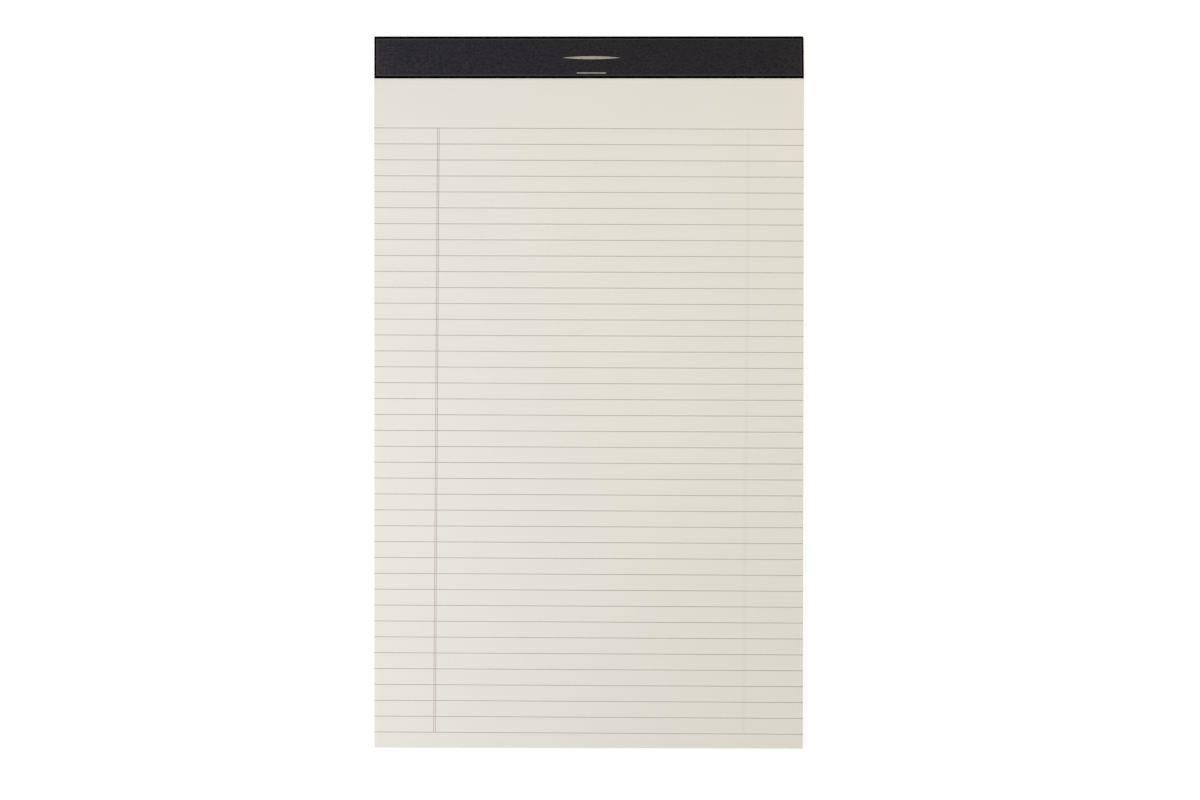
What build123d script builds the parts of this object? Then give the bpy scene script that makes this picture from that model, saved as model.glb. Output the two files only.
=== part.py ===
from build123d import *
import os
from math import atan2, cos, sin

# Legal pad: a block of ruled sheets on a backing board, stapled at the head under a folded strip.
# X runs to the right across the page, Y towards the bound head, Z up out of the ruled face.
# The origin is under the middle of the pad, on the surface that it lies on. Sizes are in mm.

# Pad
pad_width = 214.4
pad_length = 355.6          # from the foot to the outside of the fold at the head
blunt_radius = 0.6          # the corner at the right of the head is slightly worn

# Sheets and board
sheet_count = 50
sheet_thickness = 0.105
board_thickness = 1.0
head_pinch = 0.3            # the staples press the sheets together at the head
crushed_radius = 0.45       # the edges of the sheets and the board that lie inside the folds

# Tear line: a row of fine cuts through every sheet, just under the edge of the strip
tear_line_cover = 0.7       # from the edge of the strip
tear_pitch = 2.0
tear_cut_length = 1.3
tear_cut_width = 0.2

# Binding strip
strip_thickness = 0.25
front_flap = 21.0           # from the outside of the fold
back_flap = 21.0
fold_radius = 0.35          # on the inside
strip_side_gap = 0.15       # the strip ends just inside the sheets

# Staples, of flat wire
staple_count = 3
staple_pitch = 72.0
staple_from_head = 10.0
staple_crown = 12.7
staple_tip = 4.2            # the clinched end, along the back of the board
wire_width = 0.9
wire_thickness = 0.5
wire_bend = 0.25            # on the inside
wire_clearance = 0.05       # all round the wire

# Print on the ruled face
rule_pitch = 7.95
first_rule = 46.0           # from the head, at the middle of the page
foot_margin = 5.0           # at least, below the last rule
rule_width = 0.3
rule_tilt = -0.20           # degrees: the right ends lie a little lower
margin_from_left = 31.1     # to the middle of the double line, half way down the rules
margin_gap = 0.85           # between the middles of its two lines
margin_width = 0.28         # of each line
margin_tilt = -0.37         # degrees: the top leans to the right
ink_thickness = 0.04

# Foil on the strip: a plain swelled rule above a plain short one
foil_from_head = 10.7
foil_off_middle = 1.2
swelled_length = 29.0
swelled_width = 1.5
short_rule_below = 7.6
short_rule_length = 14.5
short_rule_width = 0.5
foil_thickness = 0.03

# Places along the pad, and heights above the surface that it lies on
foot_y = -pad_length / 2
head_y = pad_length / 2
stack_head_y = head_y - strip_thickness
flap_edge_y = head_y - front_flap
staple_y = head_y - staple_from_head
board_z = strip_thickness
sheets_z = board_z + board_thickness
face_z = sheets_z + sheet_count * sheet_thickness
head_z = face_z - head_pinch
top_z = face_z + strip_thickness
strip_width = pad_width - 2 * strip_side_gap
pinch_run = stack_head_y - flap_edge_y
pinch_angle = atan2(head_pinch, pinch_run)


def pinched_z(y):
    """Height of the top sheet at y, under the front flap."""
    return face_z - head_pinch * (y - flap_edge_y) / pinch_run


def staple(clearance=0.0):
    """One staple in the middle of the pad or, with a clearance, the slot that it is driven into."""
    crown_z = pinched_z(staple_y + wire_width / 2) - wire_thickness
    clinch_z = board_z + wire_thickness
    leg_x = staple_crown / 2 - wire_thickness
    tip_x = staple_crown / 2 - staple_tip
    with BuildPart() as wire:
        with BuildSketch(Plane.XZ.offset(-staple_y)):
            # The line follows the inside of the wire, and the offset gives the wire its thickness.
            with BuildLine():
                FilletPolyline(
                    (-tip_x, clinch_z),
                    (-leg_x, clinch_z),
                    (-leg_x, crown_z),
                    (leg_x, crown_z),
                    (leg_x, clinch_z),
                    (tip_x, clinch_z),
                    radius=wire_bend,
                )
                offset(amount=wire_thickness, side=Side.LEFT)
            make_face()
            if clearance:
                offset(amount=clearance, kind=Kind.INTERSECTION)
        extrude(amount=wire_width / 2 + clearance, both=True)
    return wire.part


def cut_staple_slots():
    """Cuts the slots of all the staples in the piece being built."""
    slot = staple(wire_clearance)
    with GridLocations(staple_pitch, 1, staple_count, 1):
        add(slot, mode=Mode.SUBTRACT)


def blunt_corner(x, y):
    """Rounds the worn corner of the piece being built, where its square corner is at x, y."""
    waste_side = 2 * blunt_radius
    with BuildSketch(Plane.XY) as waste:
        with Locations((x - blunt_radius, y - blunt_radius)):
            Rectangle(waste_side, waste_side, align=Align.MIN)
            Circle(blunt_radius, mode=Mode.SUBTRACT)
    extrude(waste.sketch, amount=top_z, mode=Mode.SUBTRACT)


# The sheets are one block, pinched under the strip and flat from there to the foot.
with BuildPart() as sheets:
    with BuildSketch(Plane.YZ) as section:
        with BuildLine():
            Polyline(
                (foot_y, sheets_z),
                (stack_head_y, sheets_z),
                (stack_head_y, head_z),
                (flap_edge_y, face_z),
                (foot_y, face_z),
                close=True,
            )
        make_face()
        fillet(section.vertices().group_by(Axis.X)[-1].sort_by(Axis.Y)[-1], radius=crushed_radius)
    extrude(amount=pad_width / 2, both=True)
    blunt_corner(pad_width / 2, stack_head_y)
    with BuildSketch(Plane.XY):
        with Locations((0, flap_edge_y + tear_line_cover)):
            with GridLocations(tear_pitch, 1, int(pad_width / tear_pitch), 1):
                Rectangle(tear_cut_length, tear_cut_width)
    extrude(amount=top_z, mode=Mode.SUBTRACT)
    cut_staple_slots()

with BuildPart() as backing_board:
    with BuildSketch(Plane.YZ) as section:
        with Locations((foot_y, board_z)):
            Rectangle(stack_head_y - foot_y, board_thickness, align=Align.MIN)
        fillet(section.vertices().group_by(Axis.X)[-1].sort_by(Axis.Y)[0], radius=crushed_radius)
    extrude(amount=pad_width / 2, both=True)
    blunt_corner(pad_width / 2, stack_head_y)
    cut_staple_slots()

# The strip is folded over the head: down the pinched sheets, round, and back under the board.
with BuildPart() as binding_strip:
    with BuildSketch(Plane.YZ):
        with BuildLine():
            FilletPolyline(
                (flap_edge_y, face_z),
                (stack_head_y, head_z),
                (stack_head_y, board_z),
                (head_y - back_flap, board_z),
                radius=fold_radius,
            )
            offset(amount=strip_thickness, side=Side.LEFT)
        make_face()
    extrude(amount=strip_width / 2, both=True)
    blunt_corner(strip_width / 2, head_y)

with BuildPart() as staples:
    wire = staple()
    with GridLocations(staple_pitch, 1, staple_count, 1):
        add(wire)

# The rules run from edge to edge, and the double margin line from the first rule to the last.
rule_count = int((pad_length - first_rule - foot_margin) / rule_pitch) + 1
rules_height = (rule_count - 1) * rule_pitch
rules_y = head_y - first_rule - rules_height / 2
margin_x = margin_from_left - pad_width / 2
with BuildPart() as ruling:
    with BuildSketch(Plane.XY.offset(face_z)):
        with Locations(Location((0, rules_y), rule_tilt)):
            with GridLocations(1, rule_pitch, 1, rule_count):
                Rectangle(pad_width + pad_length, rule_width)
            with Locations(Location((margin_x, 0), margin_tilt - rule_tilt)):
                with GridLocations(margin_gap, 1, 2, 1):
                    Rectangle(margin_width, rules_height)
        Rectangle(pad_width, pad_length, mode=Mode.INTERSECT)
    extrude(amount=ink_thickness)

# The foil lies on the slope of the front flap.
foil_y = head_y - foil_from_head
foil_z = pinched_z(foil_y) + strip_thickness / cos(pinch_angle)
flap_face = Plane(
    origin=(foil_off_middle, foil_y, foil_z),
    x_dir=(1, 0, 0),
    z_dir=(0, sin(pinch_angle), cos(pinch_angle)),
)
with BuildPart() as foil_rules:
    with BuildSketch(flap_face):
        with BuildLine():
            ends = (-swelled_length / 2, 0), (swelled_length / 2, 0)
            ThreePointArc(ends[0], (0, swelled_width / 2), ends[1])
            ThreePointArc(ends[0], (0, -swelled_width / 2), ends[1])
        make_face()
        with Locations((0, -short_rule_below)):
            Rectangle(short_rule_length, short_rule_width)
    extrude(amount=foil_thickness)

pieces = {
    "sheets": sheets,
    "backing_board": backing_board,
    "binding_strip": binding_strip,
    "staples": staples,
    "ruling": ruling,
    "foil_rules": foil_rules,
}
os.makedirs("parts", exist_ok=True)
for name, piece in pieces.items():
    piece.part.label = name
    export_step(piece.part, f"parts/{name}.step")
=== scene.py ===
import math
import random

import bmesh
import bpy
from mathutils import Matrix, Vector, noise


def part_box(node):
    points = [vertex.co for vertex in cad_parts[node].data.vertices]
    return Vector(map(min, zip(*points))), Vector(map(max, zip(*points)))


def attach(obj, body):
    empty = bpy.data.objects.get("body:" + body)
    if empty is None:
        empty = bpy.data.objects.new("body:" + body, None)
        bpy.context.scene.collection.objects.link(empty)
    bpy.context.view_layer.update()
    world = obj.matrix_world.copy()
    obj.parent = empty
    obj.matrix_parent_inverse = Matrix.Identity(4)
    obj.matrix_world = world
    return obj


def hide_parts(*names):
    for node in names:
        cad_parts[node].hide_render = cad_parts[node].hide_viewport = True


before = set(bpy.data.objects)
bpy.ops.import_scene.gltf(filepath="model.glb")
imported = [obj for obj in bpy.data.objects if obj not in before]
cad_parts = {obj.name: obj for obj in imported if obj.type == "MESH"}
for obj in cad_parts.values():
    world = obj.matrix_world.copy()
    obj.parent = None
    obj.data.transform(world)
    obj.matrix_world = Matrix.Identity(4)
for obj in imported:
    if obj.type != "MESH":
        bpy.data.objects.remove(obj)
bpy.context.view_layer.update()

# The legal pad: a stack of real sheets, the strip folded over its head, the print that follows
# the top sheet, and finishes for the board, the staples and the foil. Sizes are in metres.
MM = 0.001

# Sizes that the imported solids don't tell by their boxes, as in the part's source.
SHEET_COUNT = 50
HEAD_PINCH = 0.3 * MM
CRUSHED_RADIUS = 0.45 * MM
BLUNT_RADIUS = 0.6 * MM
FOLD_RADIUS = 0.35 * MM
TEAR_LINE_COVER = 0.7 * MM
TEAR_PITCH = 2.0 * MM
TEAR_CUT = (1.3 * MM, 0.2 * MM)     # its length and width
STAPLE_FROM_HEAD = 10.0 * MM
STAPLE_PITCH = 72.0 * MM
STAPLE_COUNT = 3
STAPLE_CROWN = 12.7 * MM
WIRE = (0.9 * MM, 0.5 * MM)         # its width and thickness
WIRE_BEND = 0.25 * MM
WIRE_CLEARANCE = 0.05 * MM
RULE_COUNT = 39
RULE_PITCH = 7.95 * MM
FIRST_RULE = 46.0 * MM
RULE_WIDTH = 0.3 * MM
RULE_TILT = math.radians(-0.20)
MARGIN_FROM_LEFT = 31.1 * MM
MARGIN_GAP = 0.85 * MM
MARGIN_WIDTH = 0.28 * MM
MARGIN_TILT = math.radians(-0.37)

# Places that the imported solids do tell, and those that follow from them.
sheets_low, sheets_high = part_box("sheets")
strip_low, strip_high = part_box("binding_strip")
board_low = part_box("backing_board")[0]
half_width = sheets_high[0]
foot_y = sheets_low[1]
stack_head_y = sheets_high[1]
sheets_z = sheets_low[2]
face_z = sheets_high[2]
head_y = strip_high[1]
flap_edge_y = strip_low[1]
strip_thickness = board_low[2] - strip_low[2]
sheet_pitch = (face_z - sheets_z) / SHEET_COUNT
staple_y = head_y - STAPLE_FROM_HEAD
tear_y = flap_edge_y + TEAR_LINE_COVER
rules_height = (RULE_COUNT - 1) * RULE_PITCH
rules_y = head_y - FIRST_RULE - rules_height / 2


def smooth(value, start, end):
    """Goes smoothly from 0 at start to 1 at end."""
    share = min(max((value - start) / (end - start), 0), 1)
    return share * share * (3 - 2 * share)


def spaced(start, end, step):
    """Evenly spaced values from start to end, about a step apart."""
    count = max(1, round(abs((end - start) / step)))
    return [start + (end - start) * i / count for i in range(count + 1)]


SAME_PLACE = 0.01 * MM      # points nearer than this are one


def shared_edges(values):
    """Sorted values, without those that nearly repeat the one before."""
    kept = []
    for value in sorted(values):
        if not kept or value - kept[-1] > SAME_PLACE:
            kept.append(value)
    return kept


# Sheets

SHEET_GAP = 0.06            # of the pitch, left open below each sheet
LOOSE_SHEETS = 7            # under the top sheet, which lie a little lively with it
LOW_SHEETS = 21             # of those pressed flat, the ones in the lower piece
LOOSE_GROWTH = 1.6          # how fast the liveliness grows from one loose sheet to the next
RIPPLE = 0.05 * MM
RIPPLE_RATES = (14, 9)      # ripples per metre along X and Y
RIPPLE_START = (3.1, -1.7, 0.4)
CORNER_LIFT = 0.11 * MM
CORNER_SHARES = ((-1, 0.6), (1, 1.0))   # of the lift, at the left and at the right of the foot
CORNER_REACH = 75 * MM
LIVELY_FROM = 70 * MM       # below the strip
EDGE_SCATTER = 0.06 * MM    # how unevenly the sheets' edges lie
EDGE_WAVE = 0.03 * MM
WAVE_RATES = (40, 31)       # radians per metre along X and Y
WHOLE_WAVE = 6.28           # a sheet's wave starts anywhere in its turn
SHORT_SHEETS = 0.22         # this share of the sheets ends further in
SHORT_BY = 0.12 * MM
SHORT_AT_LEAST = 0.6        # of that, at each side
TOP_FOOT_SLIP = 0.3         # the top sheet keeps this share of its slip at the foot
CRUSH_AT_MOST = 0.98        # of the crushed radius
SHEET_SEED = 11
COARSE_STEP = 27 * MM
FINE_STEP = 6 * MM
BLUNT_STEPS = 4


def kept_height(y):
    """The share of its full height that the block keeps where the staples pinch it."""
    run = min(max((y - flap_edge_y) / (stack_head_y - flap_edge_y), 0), 1)
    return 1 - HEAD_PINCH / (face_z - sheets_z) * run


def liveliness(x, y):
    """How far the top sheet rises off a pressed block: soft ripples, and corners that lift."""
    loose = smooth(y, flap_edge_y, flap_edge_y - LIVELY_FROM)
    along_x, along_y, along_z = RIPPLE_START
    ripple_at = Vector((x * RIPPLE_RATES[0] + along_x, y * RIPPLE_RATES[1] + along_y, along_z))
    ripple = 0.5 + 0.5 * noise.noise(ripple_at)
    lift = 0
    for side, share in CORNER_SHARES:
        away = math.hypot(x - side * half_width, y - foot_y)
        lift += share * smooth(away, CORNER_REACH, 0)
    return loose * (RIPPLE * ripple + CORNER_LIFT * lift)


def face_height(x, y):
    """Height of the top sheet's ruled face."""
    return sheets_z + (face_z - sheets_z) * kept_height(y) + liveliness(x, y)


def staple_cuts(z):
    """The stretches along X that the staples cut from a sheet whose top is at this height."""
    low_side = kept_height(staple_y + WIRE[0] / 2) * (face_z - sheets_z) + sheets_z
    crown_low = low_side - WIRE[1] - WIRE_CLEARANCE
    outer = STAPLE_CROWN / 2 + WIRE_CLEARANCE
    inner = STAPLE_CROWN / 2 - WIRE[1] - WIRE_CLEARANCE
    if z > crown_low:
        inner = 0
    elif z > crown_low - WIRE_BEND:
        inner -= WIRE_BEND
    cuts = []
    for k in range(STAPLE_COUNT):
        middle = (k - (STAPLE_COUNT - 1) / 2) * STAPLE_PITCH
        if inner:
            cuts += [(middle - outer, middle - inner), (middle + inner, middle + outer)]
        else:
            cuts.append((middle - outer, middle + outer))
    return cuts


def tear_cuts():
    """The stretches along X of the cuts in the tear line."""
    count = int(2 * half_width / TEAR_PITCH)
    middles = [(k - (count - 1) / 2) * TEAR_PITCH for k in range(count)]
    return [(middle - TEAR_CUT[0] / 2, middle + TEAR_CUT[0] / 2) for middle in middles]


def sheet_plan(step, cuts):
    """A sheet's outline as flat cells that meet edge to edge, open at the tear line and the staples."""
    tear_low, tear_high = tear_y - TEAR_CUT[1] / 2, tear_y + TEAR_CUT[1] / 2
    slot_low = staple_y - WIRE[0] / 2 - WIRE_CLEARANCE
    slot_high = staple_y + WIRE[0] / 2 + WIRE_CLEARANCE
    lines = spaced(foot_y, flap_edge_y, step)
    lines += [tear_low, tear_high, slot_low, slot_high, stack_head_y - BLUNT_RADIUS, stack_head_y]
    columns = spaced(-half_width, half_width, step) + [half_width - BLUNT_RADIUS]
    rows = []
    for low in lines[:-1]:
        opened = []
        if low == tear_low:
            opened = tear_cuts()
        elif low == slot_low:
            opened = cuts
        edges = shared_edges(columns + [end for cut in opened for end in cut])
        rows.append([(a, b) for a, b in zip(edges, edges[1:])
                     if not any(cut[0] < (a + b) / 2 < cut[1] for cut in opened)])
    # A line's stops are those of the rows on both sides of it, so that the rows share every corner.
    stops = []
    for i in range(len(lines)):
        beside = rows[max(i - 1, 0):i + 1]
        stops.append(sorted({end for row in beside for cell in row for end in cell}))
    cells = []
    for i, row in enumerate(rows):
        for a, b in row:
            below = [(x, lines[i]) for x in stops[i] if a <= x <= b]
            above = [(x, lines[i + 1]) for x in stops[i + 1] if a <= x <= b]
            cells.append(below + above[::-1])
    # The last cell is the blunted corner, a quarter of a circle.
    centre = half_width - BLUNT_RADIUS, stack_head_y - BLUNT_RADIUS
    turns = [math.radians(90) * k / BLUNT_STEPS for k in range(BLUNT_STEPS + 1)]
    arc = [(centre[0] + BLUNT_RADIUS * math.cos(t), centre[1] + BLUNT_RADIUS * math.sin(t)) for t in turns]
    arc[0], arc[-1] = (half_width, centre[1]), (centre[0], stack_head_y)
    cells[-1] = [centre] + arc
    return cells


def add_plate(bm, cells, place):
    """A closed plate over flat cells; place(x, y, top) gives where each corner lies."""
    corners = {}

    def corner(point, top):
        if (point, top) not in corners:
            corners[point, top] = bm.verts.new(place(*point, top))
        return corners[point, top]

    # The sides that only one cell has are the plate's rim.
    once = {}
    for cell in cells:
        bm.faces.new([corner(point, True) for point in cell])
        bm.faces.new([corner(point, False) for point in reversed(cell)])
        for a, b in zip(cell, cell[1:] + cell[:1]):
            if (b, a) in once:
                del once[b, a]
            else:
                once[a, b] = True
    for a, b in once:
        bm.faces.new([corner(b, True), corner(a, True), corner(a, False), corner(b, False)])


def new_piece(name, bm, finish, body="root"):
    """A piece of the object, made from the mesh and given a finish."""
    mesh = bpy.data.meshes.new(name)
    bm.to_mesh(mesh)
    bm.free()
    piece = bpy.data.objects.new(name, mesh)
    bpy.context.scene.collection.objects.link(piece)
    mesh.materials.append(finish)
    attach(piece, body)
    return piece


def smooth_faces(piece, sharp_over=35):
    """Shades a piece smooth, apart from edges that turn by more than this many degrees."""
    piece.data.shade_smooth()
    piece.data.set_sharp_from_angle(angle=math.radians(sharp_over))


def sheet_place(index, chance):
    """A function for where each corner of one sheet lies: its height, its slip and its wavy edges."""
    top_sheet = index == SHEET_COUNT - 1
    short = SHORT_BY if chance.random() < SHORT_SHEETS and not top_sheet else 0
    # The sheet slips by its own amount at the right, at the left and at the foot.
    slip = [short * chance.uniform(SHORT_AT_LEAST, 1) + chance.uniform(0, EDGE_SCATTER) for _ in range(3)]
    phase = chance.uniform(0, WHOLE_WAVE)
    loose = max(0, index - (SHEET_COUNT - 1 - LOOSE_SHEETS)) / LOOSE_SHEETS

    def place(x, y, top):
        level = index + (1 if top else SHEET_GAP)
        z = sheets_z + level * sheet_pitch * kept_height(y) + liveliness(x, y) * loose ** LOOSE_GROWTH
        wave = EDGE_WAVE * (0.5 + 0.5 * math.sin(x * WAVE_RATES[0] + y * WAVE_RATES[1] + phase))
        new_x, new_y = x, y
        if y < flap_edge_y:
            free = smooth(y, flap_edge_y, flap_edge_y - LIVELY_FROM)
            if x == half_width:
                new_x -= free * (wave + slip[0])
            elif x == -half_width:
                new_x += free * (wave + slip[1])
            if y == foot_y:
                new_y += wave + slip[2] * (TOP_FOOT_SLIP if top_sheet else 1)
        # The fold crushes the head edges of the uppermost sheets.
        crush = (index + 1) * sheet_pitch * kept_height(stack_head_y)
        crush -= (face_z - sheets_z - HEAD_PINCH) - CRUSHED_RADIUS
        if crush > 0 and y > stack_head_y - CRUSHED_RADIUS:
            crush = min(crush, CRUSHED_RADIUS * CRUSH_AT_MOST)
            new_y = min(y, stack_head_y - CRUSHED_RADIUS + math.sqrt(CRUSHED_RADIUS ** 2 - crush ** 2))
        return new_x, new_y, z

    return place


def make_sheets(finish, top_finish):
    """All the sheets, each a closed plate: those pressed flat, the few loose ones, and the top one."""
    chance = random.Random(SHEET_SEED)
    last = SHEET_COUNT - 1
    first_loose = last - LOOSE_SHEETS
    groups = [
        ("pressed_sheets_low", range(LOW_SHEETS), COARSE_STEP, finish),
        ("pressed_sheets_high", range(LOW_SHEETS, first_loose), COARSE_STEP, finish),
        ("loose_sheets", range(first_loose, last), FINE_STEP, finish),
        ("top_sheet", range(last, SHEET_COUNT), FINE_STEP, top_finish),
    ]
    for name, indexes, step, material in groups:
        bm = bmesh.new()
        for index in indexes:
            top_z = sheets_z + (index + 1) * sheet_pitch * kept_height(staple_y)
            add_plate(bm, sheet_plan(step, staple_cuts(top_z)), sheet_place(index, chance))
        piece = new_piece(name, bm, material)
        if step == FINE_STEP:
            smooth_faces(piece)
        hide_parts("sheets")


# Print

INK_RISE = 0.02 * MM
MARGIN_RISE = 1.1 * INK_RISE    # so that the lines' tops don't lie level where they cross
INK_SINK = 0.005 * MM
PRINT_INSET = 0.02 * MM         # the rules end this far inside the sheet's edges


def add_ribbon(bm, points, across, rise):
    """A thin closed ribbon of ink along the points, lying on the top sheet."""
    rings = []
    for x, y in points:
        ring = []
        for side, up in ((-1, False), (1, False), (1, True), (-1, True)):
            at = x + side * across[0] / 2, y + side * across[1] / 2
            ring.append(bm.verts.new((*at, face_height(*at) + (rise if up else -INK_SINK))))
        rings.append(ring)
    for one, other in zip(rings, rings[1:]):
        for k in range(4):
            n = (k + 1) % 4
            bm.faces.new([one[k], one[n], other[n], other[k]])
    bm.faces.new(rings[0][::-1])
    bm.faces.new(rings[-1])


def make_print(finish):
    """The rules from edge to edge and the double margin line, as ink on the top sheet."""
    bm = bmesh.new()
    inside = half_width - PRINT_INSET
    slope = math.tan(RULE_TILT)
    for i in range(RULE_COUNT):
        middle_y = rules_y + rules_height / 2 - i * RULE_PITCH
        line = [(x, middle_y + x * slope) for x in spaced(-inside, inside, FINE_STEP)]
        add_ribbon(bm, line, (0, RULE_WIDTH), INK_RISE)
    lean = math.tan(-MARGIN_TILT)
    margin_x = MARGIN_FROM_LEFT - half_width
    middle_y = rules_y + margin_x * slope
    for side in (-1, 1):
        line = [(margin_x + side * MARGIN_GAP / 2 + (y - middle_y) * lean, y)
                for y in spaced(middle_y - rules_height / 2, middle_y + rules_height / 2, FINE_STEP)]
        add_ribbon(bm, line, (-MARGIN_WIDTH, 0), MARGIN_RISE)
    piece = new_piece("printed_rules", bm, finish)
    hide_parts("ruling")


# Binding strip

STRIP_STEP = 2.0 * MM       # along the strip
FLAP_STEPS = 14             # across each flap
HEAD_STEPS = 5              # down the head
ARC_STEPS = 8               # round each bend
UNEVENNESS = 0.018 * MM     # of the front flap, apart from where the fold stretches it flat
UNEVEN_RATES = (90, 160)    # dips per metre along X and Y
FLAT_BY_FOLD = 4.0 * MM
STRIP_SKEW = 0.4 / 21       # its right end is cut slightly askew
STRIP_END_GAP = 0.02 * MM   # and starts nearly flush with the sheets at the flap's edge
strip_end_x = half_width - STRIP_END_GAP


def strip_section():
    """Pairs of points (y, z), outside and inside the strip, from the front flap's edge to the back's."""
    slope = math.atan2(HEAD_PINCH, stack_head_y - flap_edge_y)
    head_z = face_z - HEAD_PINCH
    back_z = strip_low[2] + strip_thickness
    pairs = []

    def straight(start, end, normal, steps):
        for share in spaced(0, 1, 1 / steps):
            inner = Vector(start).lerp(Vector(end), share)
            pairs.append((inner + Vector(normal) * strip_thickness, inner))

    def arc(centre, first, last):
        for t in spaced(first, last, (last - first) / ARC_STEPS):
            out = Vector((math.cos(t), math.sin(t)))
            inner = Vector(centre) + out * FOLD_RADIUS
            pairs.append((inner + out * strip_thickness, inner))

    up = math.radians(90) - slope
    normal = math.cos(up), math.sin(up)
    # The upper bend touches the slope of the flap and the upright part over the head.
    centre_y = stack_head_y - FOLD_RADIUS
    centre_z = head_z + math.tan(slope) * FOLD_RADIUS - FOLD_RADIUS / math.cos(slope)
    touch_point = centre_y + FOLD_RADIUS * normal[0], centre_z + FOLD_RADIUS * normal[1]
    straight((flap_edge_y, face_z), touch_point, normal, FLAP_STEPS)
    arc((centre_y, centre_z), up, 0)
    low_centre_z = back_z + FOLD_RADIUS
    straight((stack_head_y, centre_z), (stack_head_y, low_centre_z), (1, 0), HEAD_STEPS)
    arc((centre_y, low_centre_z), 0, -math.pi / 2)
    straight((centre_y, back_z), (flap_edge_y, back_z), (0, -1), FLAP_STEPS)
    kept = [pairs[0]]
    for pair in pairs[1:]:
        if (pair[1] - kept[-1][1]).length > SAME_PLACE:
            kept.append(pair)
    return kept


def make_strip(finish):
    """The folded strip with its rounded bends, its worn corner and a slightly uneven face."""
    low_x, high_x = strip_low[0], strip_end_x
    section = strip_section()
    outline = [pair[0] for pair in section] + [pair[1] for pair in reversed(section)]
    outside = len(section)
    bm = bmesh.new()
    rings = []
    for x in spaced(low_x, high_x, STRIP_STEP):
        ring = []
        for k, (y, z) in enumerate(outline):
            end = high_x - STRIP_SKEW * (y - flap_edge_y)
            into_corner = y - (head_y - BLUNT_RADIUS)
            if into_corner > 0:
                end += math.sqrt(max(BLUNT_RADIUS ** 2 - into_corner ** 2, 0)) - BLUNT_RADIUS
            dip = 0
            if k < outside and z > sheets_high[2] - FOLD_RADIUS:
                flat = smooth(stack_head_y - y, 0, FLAT_BY_FOLD)
                dip_at = Vector((x * UNEVEN_RATES[0], y * UNEVEN_RATES[1], 0))
                dip = UNEVENNESS * flat * (0.5 + 0.5 * noise.noise(dip_at))
            share = (x - low_x) / (high_x - low_x)
            ring.append(bm.verts.new((low_x + (end - low_x) * share, y, z - dip)))
        rings.append(ring)
    total = len(outline)
    for one, other in zip(rings, rings[1:]):
        for k in range(total):
            n = (k + 1) % total
            bm.faces.new([one[n], one[k], other[k], other[n]])
    for ring, flip in ((rings[0], False), (rings[-1], True)):
        for k in range(outside - 1):
            cap = [ring[k], ring[k + 1], ring[total - 2 - k], ring[total - 1 - k]]
            bm.faces.new(cap[::-1] if flip else cap)
    piece = new_piece("folded_strip", bm, finish)
    smooth_faces(piece, sharp_over=40)
    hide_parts("binding_strip")


# Finishes

def new_finish(name, **settings):
    """A node material whose shader has these constant settings."""
    material = bpy.data.materials.new(name)
    material.use_nodes = True
    shader = material.node_tree.nodes["Principled BSDF"]
    for key, value in settings.items():
        shader.inputs[key.replace("_", " ")].default_value = value
    return material, material.node_tree, shader


def add_node(tree, kind, inputs=None, **settings):
    """A node with its settings, and its inputs set to values or joined to sockets."""
    node = tree.nodes.new("ShaderNode" + kind)
    for key, value in settings.items():
        setattr(node, key, value)
    for key, value in (inputs or {}).items():
        if isinstance(value, bpy.types.NodeSocket):
            tree.links.new(value, node.inputs[key])
        else:
            node.inputs[key].default_value = value
    return node


def math_node(tree, operation, *values):
    """The result of a Math node on one to three values or sockets."""
    return add_node(tree, "Math", dict(enumerate(values)), operation=operation).outputs[0]


def object_place(tree, stretch=(1, 1, 1)):
    """The place on the object in metres, stretched for a grain that runs one way."""
    place = add_node(tree, "TexCoord").outputs["Object"]
    return add_node(tree, "Mapping", {"Vector": place, "Scale": stretch}).outputs[0]


def grain(tree, place, scale, detail=2.0, roughness=0.5):
    """Noise from 0 to 1, with features about 1 / scale metres across."""
    inputs = {"Vector": place, "Scale": scale, "Detail": detail, "Roughness": roughness}
    return add_node(tree, "TexNoise", inputs).outputs[0]


def ranged(tree, value, low, high, from_low=0.25, from_high=0.75):
    """Maps a value, mostly from from_low to from_high, to the range from low to high."""
    inputs = {0: value, 1: from_low, 2: from_high, 3: low, 4: high}
    return add_node(tree, "MapRange", inputs).outputs[0]


def mixed(tree, share, first, second, blend="MIX"):
    """Mixes two colours."""
    node = add_node(tree, "Mix", data_type="RGBA", blend_type=blend)
    for index, value in ((0, share), (6, first), (7, second)):
        if isinstance(value, bpy.types.NodeSocket):
            tree.links.new(value, node.inputs[index])
        else:
            node.inputs[index].default_value = value if index == 0 else (*value, 1)
    return node.outputs[2]


def mixed_value(tree, share, first, second):
    """Mixes two values."""
    return add_node(tree, "Mix", {0: share, 2: first, 3: second}, data_type="FLOAT").outputs[0]


def shaded(tree, colour, share):
    """A colour times a share."""
    grey = add_node(tree, "CombineColor", {0: share, 1: share, 2: share}).outputs[0]
    return mixed(tree, 1.0, colour, grey, "MULTIPLY")


def parted(tree, vector):
    """The X, Y and Z of a vector."""
    return add_node(tree, "SeparateXYZ", {0: vector}).outputs[:3]


def level_faces(tree, start=0.3, end=0.7):
    """1 on faces that look up or down, and 0 on those that lean more or are upright."""
    upward = parted(tree, add_node(tree, "NewGeometry").outputs["Normal"])[2]
    return ranged(tree, math_node(tree, "ABSOLUTE", upward), 0.0, 1.0, start, end)


def bumped(tree, shader, height, distance, strength):
    """Gives the shader a bump from the height, which stands for this distance at most."""
    bump = add_node(tree, "Bump", {"Height": height, "Distance": distance, "Strength": strength})
    tree.links.new(bump.outputs[0], shader.inputs["Normal"])


# The scales of the grains below are in features per metre.

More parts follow.
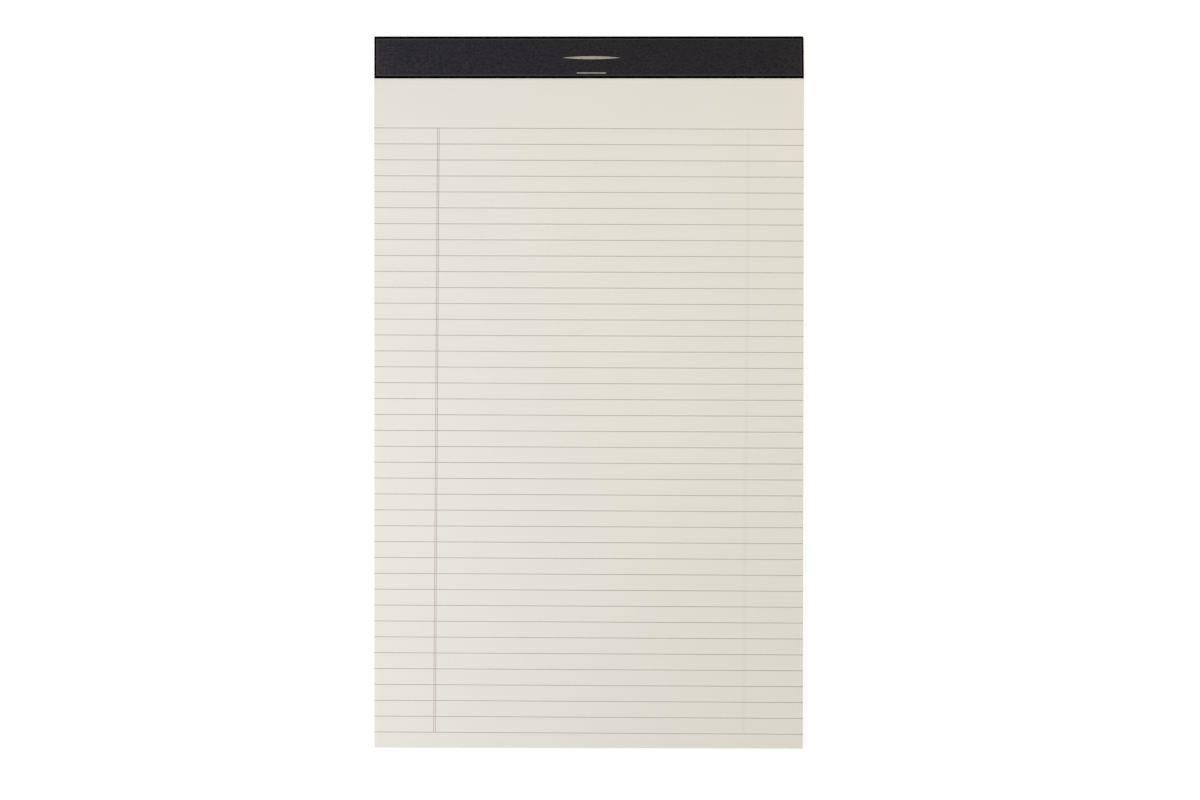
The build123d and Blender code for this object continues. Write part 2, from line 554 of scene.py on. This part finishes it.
PAPER = (0.757, 0.726, 0.645)
PAPER_FIBRES = 1400
PAPER_CLOUDS = 35
SHEET_BUNDLES = 2300        # layers of the stack that differ in tone, all darker than the top as painted shade
KNIFE_MARKS = 1500          # upright, on the trimmed edges
SHOW_THROUGH_FROM_RIGHT = 28.6 * MM
SHOW_THROUGH_LEAN = math.tan(math.radians(0.36))
SHOW_THROUGH_WIDTH = 1.7 * MM
SHOW_THROUGH_DEPTH = 0.036
BINDING_SHADE_DEPTH = 0.018       # the top sheet is painted a touch greyer towards the binding: painted shade
BINDING_SHADE_REACH = 32 * MM


def cut_edge_tone_and_shade(tree, place):
    """The tone of the stack's cut edges: single sheets, bundles of them, and the marks of the knife,
    differing at random and on the whole darker than the top as painted shade between the sheets.
    """
    sheet = math_node(tree, "FLOOR", math_node(tree, "DIVIDE", parted(tree, place)[2], sheet_pitch))
    differing = add_node(tree, "TexWhiteNoise", {"W": sheet}, noise_dimensions="1D").outputs[0]
    bundles = grain(tree, object_place(tree, (0.02, 0.02, 1.0)), SHEET_BUNDLES)
    knife = grain(tree, object_place(tree, (1.0, 1.0, 0.06)), KNIFE_MARKS)
    tone = math_node(tree, "MULTIPLY", ranged(tree, differing, 0.77, 1.0, 0.0, 1.0),
                     ranged(tree, bundles, 0.82, 1.0, 0.35, 0.65))
    return math_node(tree, "MULTIPLY", tone, ranged(tree, knife, 0.96, 1.02))


def show_through_mask(tree, place):
    """The reverse side's margin line, which shows through as a soft upright band as long as its own."""
    x, y, _ = parted(tree, place)
    from_middle = math_node(tree, "SUBTRACT", y, rules_y)
    middle_x = half_width - SHOW_THROUGH_FROM_RIGHT
    line_x = math_node(tree, "MULTIPLY_ADD", from_middle, SHOW_THROUGH_LEAN, middle_x)
    away = math_node(tree, "ABSOLUTE", math_node(tree, "SUBTRACT", x, line_x))
    band = ranged(tree, away, 1.0, 0.0, 0.0, SHOW_THROUGH_WIDTH)
    inside = math_node(tree, "LESS_THAN", math_node(tree, "ABSOLUTE", from_middle), rules_height / 2)
    mask = math_node(tree, "MULTIPLY", band, inside)
    return math_node(tree, "MULTIPLY", mask, SHOW_THROUGH_DEPTH)


def paper_finish(name, show_through=False):
    """Uncoated writing paper: fine fibres, a faint cloudiness, and edges where each sheet shows, painted
    darker as shade between the sheets; the top sheet can also take the show-through band and painted shade
    towards the binding.
    """
    material, tree, shader = new_finish(name, IOR=1.45, Specular_IOR_Level=0.3)
    place = object_place(tree)
    fibres = grain(tree, object_place(tree, (0.7, 1.0, 1.0)), PAPER_FIBRES, 3.0, 0.6)
    clouds = grain(tree, place, PAPER_CLOUDS)
    tone = math_node(tree, "ADD", ranged(tree, fibres, -0.012, 0.012), ranged(tree, clouds, 0.994, 1.006))
    # Painted shade: the upright cut edges take a darker tone than the top faces.
    edge_tone = math_node(tree, "MULTIPLY", tone, cut_edge_tone_and_shade(tree, place))
    tone = mixed_value(tree, level_faces(tree), edge_tone, tone)
    if show_through:
        tone = math_node(tree, "SUBTRACT", tone, show_through_mask(tree, place))
        # Painted shade: the top sheet is painted greyer over the last stretch towards the binding.
        y = parted(tree, place)[1]
        binding_shade = ranged(tree, y, 0.0, BINDING_SHADE_DEPTH, flap_edge_y - BINDING_SHADE_REACH, flap_edge_y)
        tone = math_node(tree, "SUBTRACT", tone, binding_shade)
    tree.links.new(shaded(tree, PAPER, tone), shader.inputs["Base Color"])
    tree.links.new(ranged(tree, fibres, 0.82, 0.95), shader.inputs["Roughness"])
    bumped(tree, shader, fibres, 0.012 * MM, 0.5)
    return material


INK = (0.361, 0.322, 0.262)
INK_GRAIN = 900


def ink_finish():
    """Pale grey-brown printing ink, a little uneven, that lets some of the paper show."""
    material, tree, shader = new_finish("ink", IOR=1.45, Specular_IOR_Level=0.3)
    uneven = grain(tree, object_place(tree), INK_GRAIN, 3.0, 0.6)
    colour = mixed(tree, ranged(tree, uneven, 0.0, 0.22), INK, PAPER)
    tree.links.new(colour, shader.inputs["Base Color"])
    tree.links.new(ranged(tree, uneven, 0.7, 0.9), shader.inputs["Roughness"])
    return material


STRIP = (0.0087, 0.0068, 0.0083)
STRIP_FELT = 1250
STRIP_STRANDS = 1600
STRANDS_SHARE = 0.2         # of the strip's texture, and felt is the rest
STRIP_PATCHES = 120
SHADE_BORDER = 0.8 * MM       # how wide its near-black border is: painted shade along its edges and round its bends
SHADE_BORDER_FADES = (0.85 * SHADE_BORDER, 1.1 * SHADE_BORDER)
# Painted shade: the border's near-black colour.
SHADE_BORDER_COLOUR = (0.0008, 0.0007, 0.0008)
WIDER_ALONG = 0.33 * MM     # the painted shade border is this much wider along its long edges
PALE_LINE = 1.2 * MM      # from its edges, where a paler line runs along them
PALE_LINE_FADES = (0.15 * MM, 0.4 * MM)
PALE_LINE_COLOUR = (0.028, 0.027, 0.029)
SCUFF_FROM = 15 * MM        # from its ends, which are a little paler
SCUFF_TONE = 1.5


def strip_places(tree):
    """How far a point of the strip lies from its nearest edge, and from the nearer of its two ends."""
    x, y, _ = parted(tree, object_place(tree))
    skewed = math_node(tree, "MULTIPLY", math_node(tree, "SUBTRACT", y, flap_edge_y), STRIP_SKEW)
    from_left = math_node(tree, "SUBTRACT", x, strip_low[0])
    from_right = math_node(tree, "SUBTRACT", math_node(tree, "SUBTRACT", strip_end_x, x), skewed)
    from_end = math_node(tree, "MINIMUM", from_left, from_right)
    from_flap = math_node(tree, "SUBTRACT", y, flap_edge_y + WIDER_ALONG)
    from_head = math_node(tree, "SUBTRACT", head_y - WIDER_ALONG, y)
    from_edge = math_node(tree, "MINIMUM", from_end, math_node(tree, "MINIMUM", from_flap, from_head))
    return from_edge, from_end


def strip_finish():
    """Matt black binding paper with a fibrous, slightly felted grain that runs along the strip."""
    material, tree, shader = new_finish("binding_paper", IOR=1.45, Specular_IOR_Level=0.27)
    felt = grain(tree, object_place(tree, (0.65, 1.0, 1.0)), STRIP_FELT, 4.0, 0.65)
    strands = grain(tree, object_place(tree, (0.09, 1.0, 1.0)), STRIP_STRANDS)
    patches = grain(tree, object_place(tree), STRIP_PATCHES)
    felt_part = math_node(tree, "MULTIPLY", felt, 1 - STRANDS_SHARE)
    texture = math_node(tree, "MULTIPLY_ADD", strands, STRANDS_SHARE, felt_part)
    tone = math_node(tree, "MULTIPLY", ranged(tree, texture, 0.0, 2.1, 0.36, 0.64),
                     ranged(tree, patches, 0.9, 1.1))
    from_edge, from_end = strip_places(tree)
    tone = math_node(tree, "MULTIPLY", tone, ranged(tree, from_end, SCUFF_TONE, 1.0, 0.0, SCUFF_FROM))
    # The painted shade border and the paler line reach round the bends, but not down the head.
    level = level_faces(tree, 0.4, 0.8)
    painted_edge_shade = math_node(tree, "MULTIPLY", level, ranged(tree, from_edge, 1.0, 0.0, *SHADE_BORDER_FADES))
    from_line = math_node(tree, "ABSOLUTE", math_node(tree, "SUBTRACT", from_edge, PALE_LINE))
    pale_line = math_node(tree, "MULTIPLY", level, ranged(tree, from_line, 1.0, 0.0, *PALE_LINE_FADES))
    colour = mixed(tree, pale_line, shaded(tree, STRIP, tone), PALE_LINE_COLOUR)
    colour = mixed(tree, painted_edge_shade, colour, SHADE_BORDER_COLOUR)
    tree.links.new(colour, shader.inputs["Base Color"])
    # Painted shade: the border is made metallic as well, so that it reflects next to nothing from above
    # and stays black.
    tree.links.new(painted_edge_shade, shader.inputs["Metallic"])
    rough = mixed_value(tree, painted_edge_shade, ranged(tree, texture, 0.58, 0.43, 0.38, 0.62), 1.0)
    tree.links.new(rough, shader.inputs["Roughness"])
    bumped(tree, shader, texture, 0.07 * MM, 0.85)
    return material


BOARD = (0.31, 0.275, 0.225)
BOARD_PULP = 260
BOARD_FIBRES = 1300
BOARD_LAYERS = 5200         # through its thickness
BOARD_FLECKS = 1100
FLECK_COLOUR = (0.46, 0.43, 0.37)
BOARD_SPECKS = 1500
SPECK_COLOUR = (0.15, 0.13, 0.11)


def board_finish():
    """Raw grey chipboard: recycled fibres and specks, laid in thin layers that show at the cut edges."""
    material, tree, shader = new_finish("chipboard", IOR=1.45, Specular_IOR_Level=0.25)
    place = object_place(tree)
    level = level_faces(tree)
    pulp = grain(tree, place, BOARD_PULP, 5.0, 0.65)
    fibres = grain(tree, object_place(tree, (1.0, 0.35, 1.0)), BOARD_FIBRES, 3.0, 0.6)
    layers = grain(tree, object_place(tree, (0.02, 0.02, 1.0)), BOARD_LAYERS)
    tone = math_node(tree, "MULTIPLY", ranged(tree, pulp, 0.86, 1.14), ranged(tree, fibres, 0.9, 1.1))
    edge_tone = math_node(tree, "MULTIPLY", tone, ranged(tree, layers, 0.72, 1.1, 0.35, 0.65))
    colour = shaded(tree, BOARD, mixed_value(tree, level, edge_tone, tone))
    flecks = grain(tree, object_place(tree, (1.0, 0.6, 1.0)), BOARD_FLECKS, 1.0)
    flecks = math_node(tree, "MULTIPLY", ranged(tree, flecks, 0.0, 0.6, 0.66, 0.74), level)
    colour = mixed(tree, flecks, colour, FLECK_COLOUR)
    specks = grain(tree, place, BOARD_SPECKS, 1.0)
    specks = math_node(tree, "MULTIPLY", ranged(tree, specks, 0.0, 0.8, 0.67, 0.74), level)
    colour = mixed(tree, specks, colour, SPECK_COLOUR)
    tree.links.new(colour, shader.inputs["Base Color"])
    tree.links.new(ranged(tree, pulp, 0.85, 0.97), shader.inputs["Roughness"])
    bumped(tree, shader, fibres, 0.05 * MM, 0.6)
    return material


WIRE_DARK = (0.48, 0.48, 0.49)
WIRE_LIGHT = (0.66, 0.66, 0.67)
WIRE_DRAWN = 9000


def wire_finish():
    """Zinc-plated staple wire, drawn along its length."""
    material, tree, shader = new_finish("staple_wire", Metallic=1.0)
    drawn = grain(tree, object_place(tree, (0.05, 1.0, 1.0)), WIRE_DRAWN)
    tree.links.new(mixed(tree, drawn, WIRE_DARK, WIRE_LIGHT), shader.inputs["Base Color"])
    tree.links.new(ranged(tree, drawn, 0.28, 0.45), shader.inputs["Roughness"])
    bumped(tree, shader, drawn, 0.01 * MM, 0.4)
    return material


FOIL_DARK = (0.375, 0.325, 0.245)
FOIL_LIGHT = (0.515, 0.46, 0.36)
FOIL_GRAIN = 1100


def foil_finish():
    """Dull gold stamping foil, pressed into the grain of the strip."""
    material, tree, shader = new_finish("gold_foil", Metallic=1.0)
    texture = grain(tree, object_place(tree, (0.55, 1.0, 1.0)), FOIL_GRAIN, 4.0, 0.65)
    colour = mixed(tree, ranged(tree, texture, 0.0, 1.0, 0.3, 0.7), FOIL_DARK, FOIL_LIGHT)
    tree.links.new(colour, shader.inputs["Base Color"])
    tree.links.new(ranged(tree, texture, 0.55, 0.38), shader.inputs["Roughness"])
    bumped(tree, shader, texture, 0.02 * MM, 0.5)
    return material


def dress(node, finish):
    """Gives a solid of the frame a finish."""
    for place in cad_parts[node].material_slots:
        place.material = finish


# Stage

FLOOR_SIDE = 30.0
FLOOR_DARK = (0.23, 0.23, 0.23)
FLOOR_LIGHT = (0.25, 0.25, 0.25)
FLOOR_DUST = 4
FLOOR_GLOW = 0.83           # the floor's own light, which keeps it white all round the pad
ROOM_COLOUR = (1.0, 0.97, 0.91)
ROOM = (0.2, 0.7)           # brightness straight overhead, and at the level of the floor
# The lamps are soft squares that look at the middle of the pad: name, place, side, watts, colour.
LAMPS = (
    ("left_softbox", (-0.5, -0.15, 0.5), 0.4, 2.13, (0.92, 0.98, 1.0)),
    ("right_softbox", (0.5, 0.3, 0.4), 0.4, 1.15, (1.06, 1.0, 0.70)),
    ("high_window", (-0.4, 0.1, 1.0), 0.3, 2.47, (1.03, 1.08, 1.47)),
)
CAMERA_LENS = 100           # in millimetres
CAMERA_PLACE = (0.02616, 0.02455, 1.6712)
CAMERA_TURN = (-0.968, 0.706, 0.044)    # in degrees


def make_floor():
    """A plain white floor, a little brighter than the paper."""
    bm = bmesh.new()
    bmesh.ops.create_grid(bm, x_segments=1, y_segments=1, size=FLOOR_SIDE / 2)
    mesh = bpy.data.meshes.new("floor")
    bm.to_mesh(mesh)
    bm.free()
    floor = bpy.data.objects.new("floor", mesh)
    bpy.context.scene.collection.objects.link(floor)
    material, tree, shader = new_finish("white_floor", Specular_IOR_Level=0.2)
    dust = grain(tree, object_place(tree), FLOOR_DUST)
    tree.links.new(mixed(tree, dust, FLOOR_DARK, FLOOR_LIGHT), shader.inputs["Base Color"])
    tree.links.new(ranged(tree, dust, 0.7, 0.8), shader.inputs["Roughness"])
    shader.inputs["Emission Color"].default_value = (1, 1, 1, 1)
    shader.inputs["Emission Strength"].default_value = FLOOR_GLOW
    mesh.materials.append(material)


def make_room():
    """A plain white room, bright all round and dim overhead, where the camera hangs."""
    world = bpy.data.worlds.new("room")
    world.use_nodes = True
    tree = world.node_tree
    up = parted(tree, add_node(tree, "TexCoord").outputs["Generated"])[2]
    level = math_node(tree, "SUBTRACT", 1.0, math_node(tree, "MULTIPLY", up, up))
    strength = math_node(tree, "MULTIPLY_ADD", level, ROOM[1] - ROOM[0], ROOM[0])
    background = tree.nodes["Background"]
    tree.links.new(strength, background.inputs["Strength"])
    background.inputs["Color"].default_value = (*ROOM_COLOUR, 1)
    bpy.context.scene.world = world


def make_lamp(name, place, side, power, colour):
    """A soft square lamp that looks at the middle of the pad."""
    light = bpy.data.lights.new(name, "AREA")
    light.size = side
    light.energy = power
    light.color = colour
    lamp = bpy.data.objects.new(name, light)
    lamp.location = place
    lamp.rotation_euler = (-Vector(place)).to_track_quat("-Z", "Y").to_euler()
    bpy.context.scene.collection.objects.link(lamp)


def make_camera():
    """The camera, which looks down at the pad from the photograph's place."""
    scene = bpy.context.scene
    camera = bpy.data.objects.new("camera", bpy.data.cameras.new("camera"))
    camera.data.lens = CAMERA_LENS
    camera.location = CAMERA_PLACE
    camera.rotation_euler = [math.radians(turn) for turn in CAMERA_TURN]
    scene.collection.objects.link(camera)
    scene.camera = camera


make_room()
make_floor()
for lamp in LAMPS:
    make_lamp(*lamp)
make_camera()
bpy.context.scene.view_settings.view_transform = "Standard"
make_sheets(paper_finish("paper"), paper_finish("top_paper", show_through=True))
make_print(ink_finish())
make_strip(strip_finish())
dress("backing_board", board_finish())
dress("staples", wire_finish())
dress("foil_rules", foil_finish())
